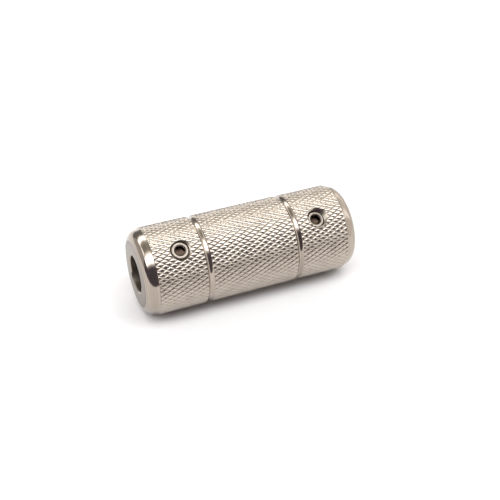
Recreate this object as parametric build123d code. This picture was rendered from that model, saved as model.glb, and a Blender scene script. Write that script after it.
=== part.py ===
from build123d import *
import os

# A knurled tube grip that lies on its side, in millimetres. X runs along the bore, from the
# front end at -X to the rear end at +X. Z is up, and the origin is on the bore axis at
# mid-length. Both set screws lean from straight up towards -Y, in line with each other.

# Grip body: outside
CREST_RADIUS = 9.5          # over the tips of the knurl
CENTRE_BAND = 19.0          # length of the middle knurled band
END_BAND = 10.4             # length of each outer knurled band
GROOVE_WIDTH = 1.4          # of each plain groove, which has a round bottom
GROOVE_DEPTH = 0.4
STEP_LENGTH = 0.5           # bevelled step from an end band down to its shoulder
STEP_HEIGHT = 0.35
DOME_LENGTH = 2.2           # rounded shoulder, along the axis
RIM_RADIUS = 7.0            # where the shoulder meets the flat end face

# Grip body: inside
BORE_RADIUS = 4.0
MOUTH_CHAMFER = 0.2

# Set screws, M4 x 4 with a 2 mm hexagon socket
SCREW_RADIUS = 1.98
SCREW_LENGTH = 4.0
SCREW_CHAMFER = 0.25
SOCKET_ACROSS_FLATS = 2.0
SOCKET_DEPTH = 1.7
SOCKET_CONE_DEPTH = 0.3
CUP_RADIUS = 1.0
CUP_DEPTH = 0.6

# Screw holes, and how the screws sit in them
SCREW_OFFSET = 15.5         # of each hole from mid-length
SCREW_LEAN = 35.0           # degrees from straight up towards -Y
HOLE_CLEARANCE = 0.04       # all round a screw
HOLE_MOUTH_RADIUS = 2.3     # of the countersink where it meets the crest radius
DRILL_LENGTH = 12.0         # from the bore axis to clear of the crest
FRONT_SCREW_SUNK = 0.35     # screw head below the crest radius
REAR_SCREW_SUNK = 1.4

band_inner = CENTRE_BAND / 2 + GROOVE_WIDTH
band_outer = band_inner + END_BAND
dome_start = band_outer + STEP_LENGTH
end_face = dome_start + DOME_LENGTH
shoulder_radius = CREST_RADIUS - STEP_HEIGHT
groove_middle = (CENTRE_BAND / 2 + GROOVE_WIDTH / 2, CREST_RADIUS - GROOVE_DEPTH)
hole_radius = SCREW_RADIUS + HOLE_CLEARANCE


def half_outline():
    """Section line of the grip from mid-length to the rear end face, bore to crest."""
    inside = Polyline(
        (0, BORE_RADIUS),
        (end_face - MOUTH_CHAMFER, BORE_RADIUS),
        (end_face, BORE_RADIUS + MOUTH_CHAMFER),
        (end_face, RIM_RADIUS),
    )
    dome = EllipticalCenterArc(
        (dome_start, RIM_RADIUS),
        DOME_LENGTH,
        shoulder_radius - RIM_RADIUS,
        start_angle=0,
        arc_size=90,
    )
    end_band = Polyline(
        (dome_start, shoulder_radius),
        (band_outer, CREST_RADIUS),
        (band_inner, CREST_RADIUS),
    )
    groove = ThreePointArc(
        (band_inner, CREST_RADIUS), groove_middle, (CENTRE_BAND / 2, CREST_RADIUS)
    )
    centre_band = Line((CENTRE_BAND / 2, CREST_RADIUS), (0, CREST_RADIUS))
    return inside + dome + end_band + groove + centre_band


def turned_body():
    """The grip as it leaves the lathe: bands, grooves, shoulders and through bore."""
    half = half_outline()
    section = make_face(half.edges() + mirror(half, Plane.YZ).edges())
    return revolve(section, Axis.X, 360)


def screw_place(x, radius):
    """Frame on a screw's axis at a radius, with its own Z pointing outwards."""
    return Pos(x, 0, 0) * Rot(X=SCREW_LEAN) * Pos(0, 0, radius)


def screw_hole():
    """Cutter for one screw hole, drawn up its own Z axis from the bore axis."""
    drill = Pos(0, 0, DRILL_LENGTH / 2) * Cylinder(hole_radius, DRILL_LENGTH)
    sink_depth = HOLE_MOUTH_RADIUS - hole_radius
    sink = Pos(0, 0, CREST_RADIUS) * Cone(hole_radius, HOLE_MOUTH_RADIUS + sink_depth, 2 * sink_depth)
    return drill + sink


def grip_body():
    """The one-piece grip with a screw hole near each end."""
    body = turned_body()
    for x in (-SCREW_OFFSET, SCREW_OFFSET):
        body -= screw_place(x, 0) * screw_hole()
    return body


def set_screw():
    """Headless screw with its socket end at Z = 0 and its cup point down."""
    shank = Pos(0, 0, -SCREW_LENGTH / 2) * Cylinder(SCREW_RADIUS, SCREW_LENGTH)
    rims = shank.edges().filter_by(GeomType.CIRCLE)
    screw = chamfer(rims, SCREW_CHAMFER)
    hexagon = RegularPolygon(SOCKET_ACROSS_FLATS / 2, 6, major_radius=False)
    screw -= extrude(hexagon, amount=-SOCKET_DEPTH)
    cone_top = -SOCKET_DEPTH - SOCKET_CONE_DEPTH / 2
    screw -= Pos(0, 0, cone_top) * Cone(0, SOCKET_ACROSS_FLATS / 2, SOCKET_CONE_DEPTH)
    cup_middle = CUP_DEPTH / 2 - SCREW_LENGTH
    screw -= Pos(0, 0, cup_middle) * Cone(CUP_RADIUS, 0, CUP_DEPTH)
    return screw


os.makedirs("parts", exist_ok=True)
nodes = {
    "grip_body": grip_body(),
    "front_set_screw": screw_place(-SCREW_OFFSET, CREST_RADIUS - FRONT_SCREW_SUNK) * set_screw(),
    "rear_set_screw": screw_place(SCREW_OFFSET, CREST_RADIUS - REAR_SCREW_SUNK) * set_screw(),
}
for name, shape in nodes.items():
    export_step(shape, f"parts/{name}.step")
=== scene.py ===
import math

import bpy
import numpy as np
from mathutils import Matrix, Vector


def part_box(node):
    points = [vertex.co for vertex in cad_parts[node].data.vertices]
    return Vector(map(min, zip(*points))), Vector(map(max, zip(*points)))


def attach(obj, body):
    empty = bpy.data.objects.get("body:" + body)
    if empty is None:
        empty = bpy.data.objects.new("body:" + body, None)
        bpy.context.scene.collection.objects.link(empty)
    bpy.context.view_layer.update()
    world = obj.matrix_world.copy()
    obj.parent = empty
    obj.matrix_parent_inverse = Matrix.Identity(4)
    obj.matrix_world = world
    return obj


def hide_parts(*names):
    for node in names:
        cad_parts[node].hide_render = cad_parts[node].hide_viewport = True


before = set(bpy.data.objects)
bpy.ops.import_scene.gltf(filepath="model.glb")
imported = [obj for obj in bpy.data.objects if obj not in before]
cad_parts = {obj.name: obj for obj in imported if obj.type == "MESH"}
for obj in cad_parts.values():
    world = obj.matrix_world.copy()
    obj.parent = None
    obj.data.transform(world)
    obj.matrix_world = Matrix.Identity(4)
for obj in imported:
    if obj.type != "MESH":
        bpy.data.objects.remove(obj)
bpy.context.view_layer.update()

MM = 0.001

# Turned body, in millimetres, as the CAD has it. The crest radius and the end faces are read
# from the CAD body's bounds.
body_low, body_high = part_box("grip_body")
CREST = body_high.z / MM
END_FACE = body_high.x / MM
CENTRE_BAND = 19.0
END_BAND = 10.4
GROOVE_WIDTH = 1.4
GROOVE_DEPTH = 0.4
STEP_LENGTH = 0.5
STEP_HEIGHT = 0.35
WALL_HEIGHT = 0.2           # steep top of the step, where the turning tool cut through the knurl
DOME_LENGTH = 2.2
RIM_RADIUS = 7.0
BORE_RADIUS = 4.0
MOUTH_CHAMFER = 0.2
BAND_INNER = CENTRE_BAND / 2 + GROOVE_WIDTH
BAND_OUTER = BAND_INNER + END_BAND
DOME_START = BAND_OUTER + STEP_LENGTH

# Set screws and their holes, in millimetres
SCREW_LEAN = 35.0           # degrees from straight up towards -Y
SCREW_OFFSET = 15.5
SCREW_RADIUS = 1.98
SCREW_LENGTH = 4.0
SCREW_CHAMFER = 0.25        # at the point
HEAD_INSET = 0.3            # of the flat face's rim inside the thread's tips
HEAD_SLOPE = 0.75           # depth of the head's chamfer for each millimetre of its width
SOCKET_FLATS = 2.0
SOCKET_CORNER = SOCKET_FLATS / math.sqrt(3)
SOCKET_DEPTH = 1.7
SOCKET_TOP = 0.5            # of the socket's cutter above the head
SOCKET_POINT = 0.35         # depth of the drilled point below the socket
ENTRY = ((-0.28, -0.14), (0.2, 0.34))       # entry chamfer: Z, and radius past the corners
CUP_DEPTH = 0.6
CUP_RADII = (1.15, 0.35)    # just outside the point, and at the bottom of the cup
HOLE_RADIUS = 2.02
HOLE_MOUTH = 2.3            # radius of the countersink at the crest
MOUTH_TOP = 1.0             # of its cutter above the crest
TAP_START = 2.6             # from the bore axis
TAP_TURNS = 11
SCREW_TURNS = 9
THREAD_PITCH = 0.7
THREAD_DEPTH = 0.36
THREAD_STOPS = (0, 0.14, 0.44, 0.70)        # of a pitch: land, flank, root and flank start
FRONT_SUNK = 0.35           # screw head below the crest radius
REAR_SUNK = 1.4

# Knurl: two crossed families of grooves, each with this many round the body
KNURL_COUNT = 52
KNURL_RISE = 0.463          # grooves per millimetre along the axis, first family
KNURL_FALL = 0.62           # second family, which leans the other way
KNURL_STOPS = np.array([0.0, 0.14, 0.32, 0.5, 0.68, 0.86])      # mesh lines over a pitch
KNURL_PITCH = 1.014         # between grooves of a family, square to them
KNURL_FLANK = 0.14          # of the pitch, from a groove's bottom to the rim of a diamond
FLANK_SLOPE = 0.8
CROWN_SLOPE = 0.15          # at the rim of a diamond, falling to none at its middle
KNURL_ROUNDING = 0.05       # millimetres, where the two families meet
LOW_SPOTS, HIGH_SPOTS = 0.13, 0.05          # below the crest radius: painted shade in the knurl's grooves between them; the knurl's finish ends at the first
DIAMOND_LEAN = 0.12         # spread of the random tilts of the diamonds
DIAMOND_ROWS = 64           # along the axis before the tilts repeat
DIAMOND_SEED = 7
BAR_SPARE = 1.0             # of the knurled bar past an end face
BAR_CAP = 0.8               # of the middle of the bar's cap past an end face

# Mesh detail
LATHE_SEGMENTS = 180
ROUND_SEGMENTS = 64
THREAD_SEGMENTS = 48
ARC_POINTS = 11
BODY_SHARP, SCREW_SHARP = 40, 30            # degrees, from which an edge is shaded sharp
CLEAR = 0.3                 # how far the turning's outline stands outside the crest
OVERLAP = 0.1               # how far a cutter runs past a surface that it meets

# Where the finishes, and the painted shade on the end faces and in the sockets, end, in
# millimetres
END_MARGIN = 0.02           # in from an end face
BORE_MARGIN = 0.05          # out from the bore
HOLE_MARGIN = 0.1           # out from the root of a hole's thread
HOLE_TOP = 0.14             # below the crest radius
SOCKET_PAINT = 1.14         # radius, just inside the socket's corners
SOCKET_PAINT_TOP = 0.1      # below the head
SOCKET_PAINT_END = 0.5      # below the socket, past its drilled point


# ---------------------------------------------------------------- mesh helpers

def mesh_object(name, points, faces):
    """A mesh from points in millimetres."""
    mesh = bpy.data.meshes.new(name)
    mesh.from_pydata((np.asarray(points) * MM).tolist(), [], faces)
    mesh.update()
    made = bpy.data.objects.new(name, mesh)
    bpy.context.scene.collection.objects.link(made)
    return made


def cut(target, cutter, operation="DIFFERENCE"):
    """Takes a cutter away from a target, or keeps what is inside it. Both are watertight."""
    boolean = target.modifiers.new("cut", "BOOLEAN")
    boolean.operation = operation
    boolean.solver = "MANIFOLD"
    boolean.object = cutter
    bpy.context.view_layer.update()
    solved = target.evaluated_get(bpy.context.evaluated_depsgraph_get())
    mesh = bpy.data.meshes.new_from_object(solved)
    target.modifiers.remove(boolean)
    mesh.materials.clear()
    target.data = mesh
    bpy.data.objects.remove(cutter)


def moved(piece, matrix):
    """The piece with its mesh moved by a matrix."""
    piece.data.transform(matrix)
    return piece


def lathe(name, outline):
    """A closed outline of (x, radius) turned round the X axis."""
    outline = np.asarray(outline, float)
    angle = np.arange(LATHE_SEGMENTS) * 2 * math.pi / LATHE_SEGMENTS
    count = len(outline)
    points = np.empty((LATHE_SEGMENTS, count, 3))
    points[..., 0] = outline[:, 0]
    points[..., 1] = -outline[:, 1] * np.cos(angle)[:, None]
    points[..., 2] = outline[:, 1] * np.sin(angle)[:, None]
    faces = []
    for s in range(LATHE_SEGMENTS):
        here, there = s * count, (s + 1) % LATHE_SEGMENTS * count
        for k in range(count):
            nxt = (k + 1) % count
            faces.append((here + k, here + nxt, there + nxt, there + k))
    return mesh_object(name, points.reshape(-1, 3), faces)


def stack(name, rings):
    """A closed solid up the Z axis from (z, radius) rings, flat at both ends."""
    angle = np.arange(ROUND_SEGMENTS) * 2 * math.pi / ROUND_SEGMENTS
    points, faces = [], []
    for z, radius in rings:
        points += [(radius * math.cos(a), radius * math.sin(a), z) for a in angle]
    for r in range(len(rings) - 1):
        here, above = r * ROUND_SEGMENTS, (r + 1) * ROUND_SEGMENTS
        for s in range(ROUND_SEGMENTS):
            t = (s + 1) % ROUND_SEGMENTS
            faces.append((here + s, here + t, above + t, above + s))
    last = (len(rings) - 1) * ROUND_SEGMENTS
    faces.append(tuple(last + s for s in range(ROUND_SEGMENTS)))
    faces.append(tuple(reversed(range(ROUND_SEGMENTS))))
    return mesh_object(name, points, faces)


def thread(name, land, root, z_low, turns):
    """A solid threaded rod up the Z axis, with its lands and its roots at two radii."""
    profile = tuple(zip(THREAD_STOPS, (land, land, root, root)))
    count = len(profile)
    rows = count * turns
    # The first column is a pitch taller, because the last one joins it a pitch further up.
    column = [rows + count + 1] + [rows + 1] * (THREAD_SEGMENTS - 1)
    start = np.concatenate([[0], np.cumsum(column)])
    points, faces = [], []
    for u in range(THREAD_SEGMENTS):
        a = u * 2 * math.pi / THREAD_SEGMENTS
        for k in range(column[u]):
            part, radius = profile[k % count]
            z = z_low + THREAD_PITCH * (k // count + part + u / THREAD_SEGMENTS)
            points.append((radius * math.cos(a), radius * math.sin(a), z))

    def at(k, u):
        return int(start[0] + k + count) if u == THREAD_SEGMENTS else int(start[u] + k)

    for u in range(THREAD_SEGMENTS):
        for k in range(rows):
            faces.append((at(k, u), at(k, u + 1), at(k + 1, u + 1), at(k + 1, u)))
    for k, top in ((0, False), (rows, True)):
        loop = [at(k, u) for u in range(THREAD_SEGMENTS + 1)]
        loop += [at(k + j, 0) for j in range(count - 1, 0, -1)]
        points.append((0, 0, z_low + THREAD_PITCH * (k // count + 0.5)))
        centre = len(points) - 1
        for i, a in enumerate(loop):
            b = loop[(i + 1) % len(loop)]
            faces.append((a, b, centre) if top else (b, a, centre))
    return mesh_object(name, points, faces)


def shade(piece, degrees):
    """Smooth shading, with edges sharp from an angle."""
    mesh = piece.data
    mesh.polygons.foreach_set("use_smooth", np.ones(len(mesh.polygons), bool))
    mesh.set_sharp_from_angle(angle=math.radians(degrees))
    mesh.update()


# ---------------------------------------------------------------- grip body

def crown(part):
    """Height across one family of grooves, 0 at a groove's bottom."""
    inward = np.minimum(part, 1 - part)
    past = np.maximum(inward - KNURL_FLANK, 0)
    top = CROWN_SLOPE * (past - past ** 2 / (1 - 2 * KNURL_FLANK))
    return KNURL_PITCH * (FLANK_SLOPE * np.minimum(inward, KNURL_FLANK) + top)


def knurl_height(a, b):
    """Height in the crossed grooves: the lower of the two families, rounded where they meet."""
    both = np.exp(-crown(a % 1) / KNURL_ROUNDING) + np.exp(-crown(b % 1) / KNURL_ROUNDING)
    return -KNURL_ROUNDING * np.log(both)


def knurled_bar():
    """A solid bar, longer than the body, with the crossed grooves over all of it.

    Point i of row d sits on mesh line i of the first family and i - d of the second.
    """
    n = len(KNURL_STOPS)
    around = KNURL_COUNT * n
    per_mm = KNURL_COUNT / (2 * math.pi * CREST)
    cross = KNURL_RISE + KNURL_FALL
    reach = int((END_FACE + BAR_SPARE) * cross * n)
    i = np.arange(around)[None, :]
    d = np.arange(-reach, reach + 1)[:, None]
    j = i - d
    a = i // n + KNURL_STOPS[i % n]
    b = j // n + KNURL_STOPS[j % n]
    x = (a - b) / cross
    angle = -(KNURL_FALL * a + KNURL_RISE * b) / (per_mm * cross) / CREST

    # Each diamond leans a little its own way, and never rises above the crest.
    rng = np.random.default_rng(DIAMOND_SEED)
    lean = rng.normal(0, DIAMOND_LEAN, (KNURL_COUNT, DIAMOND_ROWS, 2))
    cell = lean[(i // n) % KNURL_COUNT, (i // n - j // n) % DIAMOND_ROWS]
    tilt = cell[..., 0] * (a % 1 - 0.5) + cell[..., 1] * (b % 1 - 0.5)
    tilt -= 0.5 * np.abs(cell).sum(-1)
    radius = CREST - knurl_height(0.5, 0.5) + knurl_height(a, b) * (1 + tilt)
    points = np.stack([x, -radius * np.cos(angle), radius * np.sin(angle)], -1)
    points = points.reshape(-1, 3).tolist()

    # Every quad goes from one mesh line to the next in each family, a in the first digit and b
    # in the second, and is split along the crease from its diamond's corner to the middle.
    rows = len(d)
    r, c = np.meshgrid(np.arange(1, rows - 1), np.arange(around), indexing="ij")
    right = (c + 1) % around
    p00, p10 = r * around + c, (r + 1) * around + right
    p11, p01 = r * around + right, (r - 1) * around + c
    half = n // 2
    along = (((c % n) < half) == (((c - (r - reach)) % n) < half))[..., None]
    faces = []
    for split, other in (((p00, p11, p10), (p00, p01, p10)), ((p00, p01, p11), (p01, p11, p10))):
        corners = np.where(along, np.stack(split, -1), np.stack(other, -1))
        faces += corners.reshape(-1, 3).tolist()

    # A fan over the zigzag edge closes each end.
    for row, other, side in ((1, 0, -1), (rows - 2, rows - 1, 1)):
        points.append((side * (END_FACE + BAR_CAP), 0, 0))
        centre = len(points) - 1
        for c in range(around):
            nxt = (c + 1) % around
            tip = other * around + (c if side < 0 else nxt)
            for e, f in ((row * around + c, tip), (tip, row * around + nxt)):
                faces.append((e, f, centre) if side > 0 else (f, e, centre))
    return mesh_object("knurled_bar", points, faces)


def dome_points():
    """(x, radius) along the rounded shoulder at the rear, from the step to the end face."""
    height = CREST - STEP_HEIGHT - RIM_RADIUS
    return [(DOME_START + DOME_LENGTH * math.cos(t), RIM_RADIUS + height * math.sin(t))
            for t in np.linspace(math.pi / 2, 0, ARC_POINTS)]


def groove_points(high):
    """(x, radius) along the round-bottomed groove at the rear, from one height to the same."""
    middle = CENTRE_BAND / 2 + GROOVE_WIDTH / 2
    bend = (GROOVE_WIDTH ** 2 / 4 + GROOVE_DEPTH ** 2) / (2 * GROOVE_DEPTH)
    centre = CREST - GROOVE_DEPTH + bend
    reach = math.acos((centre - high) / bend)
    return [(middle + bend * math.sin(t), centre - bend * math.cos(t))
            for t in np.linspace(-reach, reach, ARC_POINTS)]


def turned_outline():
    """Closed section of the body. The bands stand clear of the knurl, which is cut already."""
    high = CREST + CLEAR
    half = groove_points(high) + [(BAND_OUTER - CLEAR / 2, high)]
    half += [(BAND_OUTER + WALL_HEIGHT / 2, CREST - WALL_HEIGHT)] + dome_points()
    half += [(END_FACE, BORE_RADIUS + MOUTH_CHAMFER), (END_FACE - MOUTH_CHAMFER, BORE_RADIUS)]
    return half + [(-x, r) for x, r in reversed(half)]


def on_screw(x, radius):
    """Frame on a screw's axis at a radius, with its own Z outwards, in metres."""
    lean = Matrix.Rotation(math.radians(SCREW_LEAN), 4, "X")
    return Matrix.Translation((x * MM, 0, 0)) @ lean @ Matrix.Translation((0, 0, radius * MM))


def screw_hole():
    """Cutter for a tapped hole up the Z axis, from inside the bore to outside the crest."""
    return thread("tap", HOLE_RADIUS, HOLE_RADIUS + THREAD_DEPTH, TAP_START, TAP_TURNS)


def hole_mouth():
    """Cutter for the 45 degree countersink of a hole."""
    top = CREST + MOUTH_TOP
    low = CREST - (HOLE_MOUTH - HOLE_RADIUS) - OVERLAP
    inner = HOLE_RADIUS - OVERLAP
    return stack("mouth", [(low, inner), (top, inner + top - low)])


def grip():
    """The knurled bar turned to the body's outline, with its two screw holes."""
    body = knurled_bar()
    cut(body, lathe("turning", turned_outline()), "INTERSECT")
    for x in (-SCREW_OFFSET, SCREW_OFFSET):
        cut(body, moved(screw_hole(), on_screw(x, 0)))
        cut(body, moved(hole_mouth(), on_screw(x, 0)))
    body.name = body.data.name = "knurled_grip"
    return body


# ---------------------------------------------------------------- set screws

def hexagon():
    """Cutter for a socket: a hexagonal prism up the Z axis with a drilled point."""
    low, high = -SOCKET_DEPTH, SOCKET_TOP
    turns = [i * math.pi / 3 for i in range(6)]
    spots = [(SOCKET_CORNER * math.cos(t), SOCKET_CORNER * math.sin(t)) for t in turns]
    points = [(x, y, high) for x, y in spots] + [(x, y, low) for x, y in spots]
    points.append((0, 0, low - SOCKET_POINT))
    faces = [tuple(range(6))]
    for i in range(6):
        j = (i + 1) % 6
        faces.append((i, i + 6, j + 6, j))
        faces.append((j + 6, i + 6, 12))
    return mesh_object("socket", points, faces)


def set_screw(name):
    """A headless screw with its socket end at Z = 0 and its cup point down."""
    bottom = -SCREW_LENGTH - 2 * THREAD_PITCH
    screw = thread(name, SCREW_RADIUS, SCREW_RADIUS - THREAD_DEPTH, bottom, SCREW_TURNS)
    point, face = SCREW_RADIUS - SCREW_CHAMFER, SCREW_RADIUS - HEAD_INSET
    edge = SCREW_RADIUS + OVERLAP
    low, high = edge - point - SCREW_LENGTH, HEAD_SLOPE * (face - edge)
    blank = stack("blank", [(-SCREW_LENGTH, point), (low, edge), (high, edge), (0, face)])
    cut(screw, blank, "INTERSECT")
    cut(screw, hexagon())
    cut(screw, stack("entry", [(z, SOCKET_CORNER + past) for z, past in ENTRY]))
    rim, middle = CUP_RADII
    cup = [(-SCREW_LENGTH - OVERLAP, rim), (-SCREW_LENGTH + CUP_DEPTH, middle)]
    cut(screw, stack("cup", cup))
    return screw


# ---------------------------------------------------------------- materials

class Nodes:
    """Short way to build a node tree."""

    def __init__(self, tree):
        self.tree = tree
        tree.nodes.clear()

    def add(self, kind, inputs=(), **settings):
        """A node with its settings, and its inputs as values or as sockets to link."""
        node = self.tree.nodes.new(kind)
        for key, value in settings.items():
            setattr(node, key, value)
        for key, value in dict(inputs).items():
            if isinstance(value, bpy.types.NodeSocket):
                self.tree.links.new(value, node.inputs[key])
            else:
                node.inputs[key].default_value = value
        return node

    def math(self, operation, *values):
        node = self.add("ShaderNodeMath", dict(enumerate(values)), operation=operation)
        return node.outputs[0]

    def product(self, first, *others):
        for other in others:
            first = self.math("MULTIPLY", first, other)
        return first

    def ramp(self, factor, low, high, to_low=0.0, to_high=1.0):
        """A smooth step from one value to another while the factor goes from low to high."""
        node = self.add("ShaderNodeMapRange", {0: factor, 1: low, 2: high, 3: to_low, 4: to_high},
                        interpolation_type="SMOOTHSTEP")
        return node.outputs[0]

    def mix(self, factor, a, b):
        node = self.add("ShaderNodeMix", {0: factor, 6: a, 7: b}, data_type="RGBA")
        return node.outputs[2]

    def noise(self, vector, scale, detail):
        inputs = {"Vector": vector, "Scale": scale, "Detail": detail}
        return self.add("ShaderNodeTexNoise", inputs).outputs[0]


def steel(name, tint, dark, rough, lines, low=0.0):
    """Bright machined steel. Lathe lines run round the X axis, and low spots are darker with
    painted shade.
    """
    made = bpy.data.materials.new(name)
    made.use_nodes = True
    n = Nodes(made.node_tree)
    place = n.add("ShaderNodeTexCoord").outputs["Object"]
    x, y, z = n.add("ShaderNodeSeparateXYZ", {0: place}).outputs
    flat = n.add("ShaderNodeCombineXYZ", {1: y, 2: z}).outputs[0]
    radius = n.add("ShaderNodeVectorMath", {0: flat}, operation="LENGTH").outputs["Value"]
    turned = n.add("ShaderNodeCombineXYZ", {0: x, 1: radius}).outputs[0]
    # Painted shade: below the crest the colour darkens towards the dark one, by the share given in
    # low.
    groove_shade = n.ramp(radius, (CREST - LOW_SPOTS) * MM, (CREST - HIGH_SPOTS) * MM, 1.0 - low, 1.0)
    stain = n.noise(place, scale=420, detail=4)
    fine = n.noise(place, scale=5200, detail=3)
    rings = n.noise(turned, scale=7000, detail=2)
    bands = n.noise(turned, scale=2600, detail=3)
    streaks = n.ramp(bands, 0.35, 0.65, 1.0 - 0.75 * lines, 1.0)
    colour = n.mix(n.product(n.ramp(stain, 0.3, 0.6, 0.82, 1.0), streaks), dark, tint)
    colour = n.mix(groove_shade, dark, colour)
    roughness = n.ramp(fine, 0.25, 0.75, rough * 0.75, rough * 1.3)
    height = n.math("ADD", n.product(rings, lines), n.product(fine, 0.3))
    bump = n.add("ShaderNodeBump", {"Strength": 0.15, "Distance": 0.00002, "Height": height})
    shader = n.add("ShaderNodeBsdfPrincipled", {"Base Color": colour, "Metallic": 1.0,
                                                "Roughness": roughness, "Normal": bump.outputs[0]})
    n.add("ShaderNodeOutputMaterial", {0: shader.outputs[0]})
    return made


def paint(piece, materials, choose):
    """Gives each face the material whose number choose() returns for the face centres, in mm."""
    for material in materials:
        piece.data.materials.append(material)
    centres = np.empty(len(piece.data.polygons) * 3)
    piece.data.polygons.foreach_get("center", centres)
    index = choose(*(centres.reshape(-1, 3).T / MM)).astype(np.int32)
    piece.data.polygons.foreach_set("material_index", index)


# ---------------------------------------------------------------- the pieces

# Each steel has its tint, the colour of its dark marks and of its painted shade, its roughness,
# the strength of its lathe lines and, for the knurl, how much painted shade darkens the bottoms of
# its grooves.
knurl_steel = steel(
    "knurled_steel", (0.50, 0.443, 0.38, 1), (0.12, 0.10, 0.078, 1), 0.22, 0.0, low=0.7)
turned_steel = steel("turned_steel", (0.46, 0.405, 0.345, 1), (0.30, 0.255, 0.215, 1), 0.10, 1.0)
bored_steel = steel("bored_steel", (0.36, 0.315, 0.265, 1), (0.20, 0.17, 0.13, 1), 0.34, 1.0)
# The end faces' steel is darker than the shoulder's as painted shade; only its rougher finish is
# real.
end_face_painted_shade = steel("end_face_painted_shade", (0.225, 0.188, 0.155, 1), (0.15, 0.122, 0.10, 1), 0.26, 1.0)
screw_steel = steel("screw_steel", (0.27, 0.235, 0.20, 1), (0.21, 0.18, 0.145, 1), 0.40, 0.5)
# Near black inside the sockets: painted shade in the hexagonal recesses.
socket_painted_shade = steel(
    "socket_painted_shade", (0.045, 0.031, 0.023, 1), (0.025, 0.017, 0.012, 1), 0.26, 0.3)


def body_finish(x, y, z):
    """0 on the knurl, 1 on turned surfaces, 2 in the bore and the screw holes, 3 on the ends,
    whose darker colour is painted shade.
    """
    radius = np.hypot(y, z)
    band = np.abs(x)
    end = END_FACE - END_MARGIN
    knurled = (band < CENTRE_BAND / 2) | ((band > BAND_INNER) & (band < BAND_OUTER))
    knurled &= radius > CREST - LOW_SPOTS
    lean = math.radians(SCREW_LEAN)
    from_axis = np.hypot(band - SCREW_OFFSET, y * math.cos(lean) + z * math.sin(lean))
    outwards = z * math.cos(lean) - y * math.sin(lean)
    in_hole = (from_axis < HOLE_RADIUS + THREAD_DEPTH + HOLE_MARGIN) & (outwards > 0)
    in_hole &= radius < CREST - HOLE_TOP
    in_bore = (radius < BORE_RADIUS + BORE_MARGIN) & (band < end)
    outside = np.where(band > end, 3, 1)
    return np.where(in_bore | in_hole, 2, np.where(knurled, 0, outside))


def socket_shade_mask(x, y, z):
    """1 inside the socket, where the steel is painted near black as shade, 0 elsewhere, with the
    screw still up its own Z axis.
    """
    end = SOCKET_DEPTH + SOCKET_PAINT_END
    return (np.hypot(x, y) < SOCKET_PAINT) & (z > -end) & (z < -SOCKET_PAINT_TOP)


grip_body = grip()
paint(grip_body, (knurl_steel, turned_steel, bored_steel, end_face_painted_shade), body_finish)
shade(grip_body, BODY_SHARP)
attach(grip_body, "grip")
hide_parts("grip_body")

for name, node, body, x, sunk in (
    ("front_socket_screw", "front_set_screw", "front_screw", -SCREW_OFFSET, FRONT_SUNK),
    ("rear_socket_screw", "rear_set_screw", "rear_screw", SCREW_OFFSET, REAR_SUNK),
):
    screw = set_screw(name)
    paint(screw, (screw_steel, socket_painted_shade), socket_shade_mask)
    moved(screw, on_screw(x, CREST - sunk))
    shade(screw, SCREW_SHARP)
    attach(screw, body)
    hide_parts(node)


# ---------------------------------------------------------------- floor, light and camera

# Light round the X axis, in degrees from level on the -Y side, up over the top and down behind
SKY_STOPS = (
    (-30, (0.9, 0.87, 0.84)), (-10, (0.5, 0.48, 0.46)), (-6, (0.10, 0.09, 0.10)),
    (44, (0.10, 0.087, 0.105)), (51, (0.6, 0.58, 0.6)), (57, (2.6, 2.6, 2.7)),
    (61, (4.3, 4.35, 4.5)), (76, (4.3, 4.35, 4.5)), (82, (2.2, 2.2, 2.2)),
    (90, (0.7, 0.68, 0.62)), (96, (0.38, 0.36, 0.31)), (112, (0.38, 0.36, 0.31)),
    (124, (0.7, 0.69, 0.65)), (131, (3.0, 3.0, 3.0)), (142, (3.0, 3.0, 3.0)),
    (148, (0.7, 0.69, 0.67)), (154, (0.25, 0.245, 0.24)), (176, (0.2, 0.2, 0.2)),
    (184, (0.4, 0.4, 0.4)),
)
SKY_STRENGTH = 1.3
STRIP_LIGHT = (1.8, 1.8, 1.8, 1)            # upright strip off the front end
WALL_NEAR = (0.11, 0.095, 0.115, 1)         # wall past the front end, on the -Y side
WALL_FAR = (0.52, 0.5, 0.49, 1)             # and on the +Y side
RIGHT_LIGHT = (0.95, 0.92, 0.88, 1)         # pale side past the rear end
WHITE = (1, 1, 1, 1)

FLOOR_HALF = 1.5 / MM
FLOOR_FRONT = -100
PAPER_DARK = (0.705, 0.695, 0.69, 1)
PAPER_LIGHT = (0.745, 0.735, 0.73, 1)

KEY_PLACE = (0.26, -0.14, 0.34)
KEY_SIZE = 0.25
KEY_POWER = 0.22

CAMERA_AHEAD = (0.303, 0.740, -0.601)
CAMERA_RIGHT = (0.9254, -0.3790, 0)
CAMERA_PLACE = (0.204, 0.041, 22.46)        # right, down and back, in crest radii
CAMERA_LENS = 70.4
CAMERA_SENSOR = 36.0


def sky_ramp(n, y, z):
    """Colour of the light round the X axis, for a direction's Y and Z."""
    over = n.math("DIVIDE", n.math("ARCTAN2", z, n.math("MULTIPLY", y, -1.0)), math.pi)
    over = n.math("WRAP", over, 2.0, 0.0)
    ramp = n.add("ShaderNodeValToRGB", {0: n.math("MULTIPLY", over, 0.5)})
    points = ramp.color_ramp.elements
    for degrees, colour in sorted((d % 360, c) for d, c in SKY_STOPS):
        spot = points.new(degrees / 360)
        spot.color = (*colour, 1)
    points.remove(points[0])
    points.remove(points[-1])
    return ramp.outputs[0]


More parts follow.
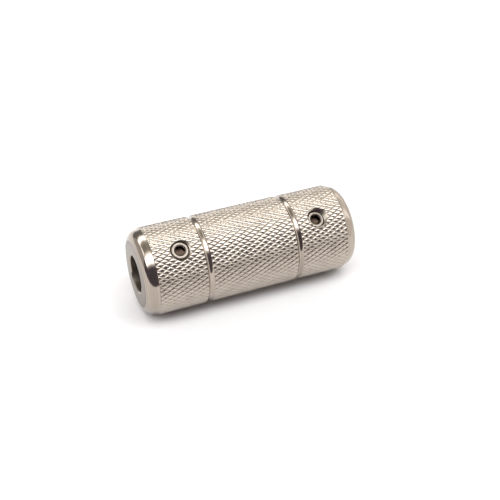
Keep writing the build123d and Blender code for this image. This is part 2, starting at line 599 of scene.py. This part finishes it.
def sky():
    """Soft studio surroundings: two broad strips of light above, dark on the camera's side."""
    world = bpy.data.worlds.new("studio")
    bpy.context.scene.world = world
    world.use_nodes = True
    n = Nodes(world.node_tree)
    direction = n.add("ShaderNodeTexCoord").outputs["Generated"]
    x, y, z = n.add("ShaderNodeSeparateXYZ", {0: direction}).outputs
    strip = n.product(
        n.ramp(x, -0.79, -0.73), n.ramp(x, -0.62, -0.54, 1.0, 0.0),
        n.ramp(y, -0.05, 0.08), n.ramp(y, 0.35, 0.55, 1.0, 0.0),
    )
    colour = n.mix(strip, sky_ramp(n, y, z), STRIP_LIGHT)
    wall = n.mix(n.ramp(y, -0.03, 0.06), WALL_NEAR, WALL_FAR)
    leftwards = n.math("SUBTRACT", x, n.product(n.math("MAXIMUM", y, 0.0), 0.4))
    colour = n.mix(n.ramp(leftwards, -0.84, -0.76, 1.0, 0.0), colour, wall)
    colour = n.mix(n.ramp(x, 0.40, 0.62, 0.0, 0.85), colour, RIGHT_LIGHT)
    seen = n.add("ShaderNodeLightPath").outputs["Is Camera Ray"]
    colour = n.mix(seen, colour, WHITE)
    glow = n.add("ShaderNodeBackground", {"Color": colour, "Strength": SKY_STRENGTH})
    n.add("ShaderNodeOutputWorld", {0: glow.outputs[0]})


def floor():
    """A sheet of pale paper that the body lies on."""
    half, low = FLOOR_HALF, body_low.z / MM
    spots = [(-half, FLOOR_FRONT, low), (half, FLOOR_FRONT, low), (half, half, low),
             (-half, half, low)]
    made = mesh_object("floor", spots, [(0, 1, 2, 3)])
    paper = bpy.data.materials.new("paper")
    paper.use_nodes = True
    n = Nodes(paper.node_tree)
    place = n.add("ShaderNodeTexCoord").outputs["Object"]
    colour = n.mix(n.noise(place, scale=900, detail=4), PAPER_DARK, PAPER_LIGHT)
    shader = n.add("ShaderNodeBsdfPrincipled", {"Base Color": colour, "Roughness": 0.85,
                                                "Specular IOR Level": 0.2})
    n.add("ShaderNodeOutputMaterial", {0: shader.outputs[0]})
    made.data.materials.append(paper)


def key_light():
    """A softbox that lights the floor without showing in the metal."""
    light = bpy.data.lights.new("key", "AREA")
    light.shape = "DISK"
    light.size = KEY_SIZE
    light.energy = KEY_POWER
    made = bpy.data.objects.new("key", light)
    bpy.context.scene.collection.objects.link(made)
    made.location = KEY_PLACE
    made.rotation_mode = "QUATERNION"
    made.rotation_quaternion = (-Vector(KEY_PLACE)).to_track_quat("-Z", "Y")
    made.visible_glossy = False


def camera():
    """The view from the front end and the screws' side, looking down on the body."""
    ahead = Vector(CAMERA_AHEAD).normalized()
    right = Vector(CAMERA_RIGHT).normalized()
    up = right.cross(ahead)
    unit = CREST * MM
    data = bpy.data.cameras.new("camera")
    data.lens = CAMERA_LENS
    data.sensor_width = CAMERA_SENSOR
    data.clip_start = 0.01
    made = bpy.data.objects.new("camera", data)
    bpy.context.scene.collection.objects.link(made)
    made.matrix_world = Matrix((
        (right.x, up.x, -ahead.x, 0), (right.y, up.y, -ahead.y, 0),
        (right.z, up.z, -ahead.z, 0), (0, 0, 0, 1),
    ))
    sideways, down, back = CAMERA_PLACE
    made.location = sideways * unit * right - down * unit * up - back * unit * ahead
    bpy.context.scene.camera = made


sky()
floor()
key_light()
camera()
bpy.context.scene.view_settings.view_transform = "Standard"
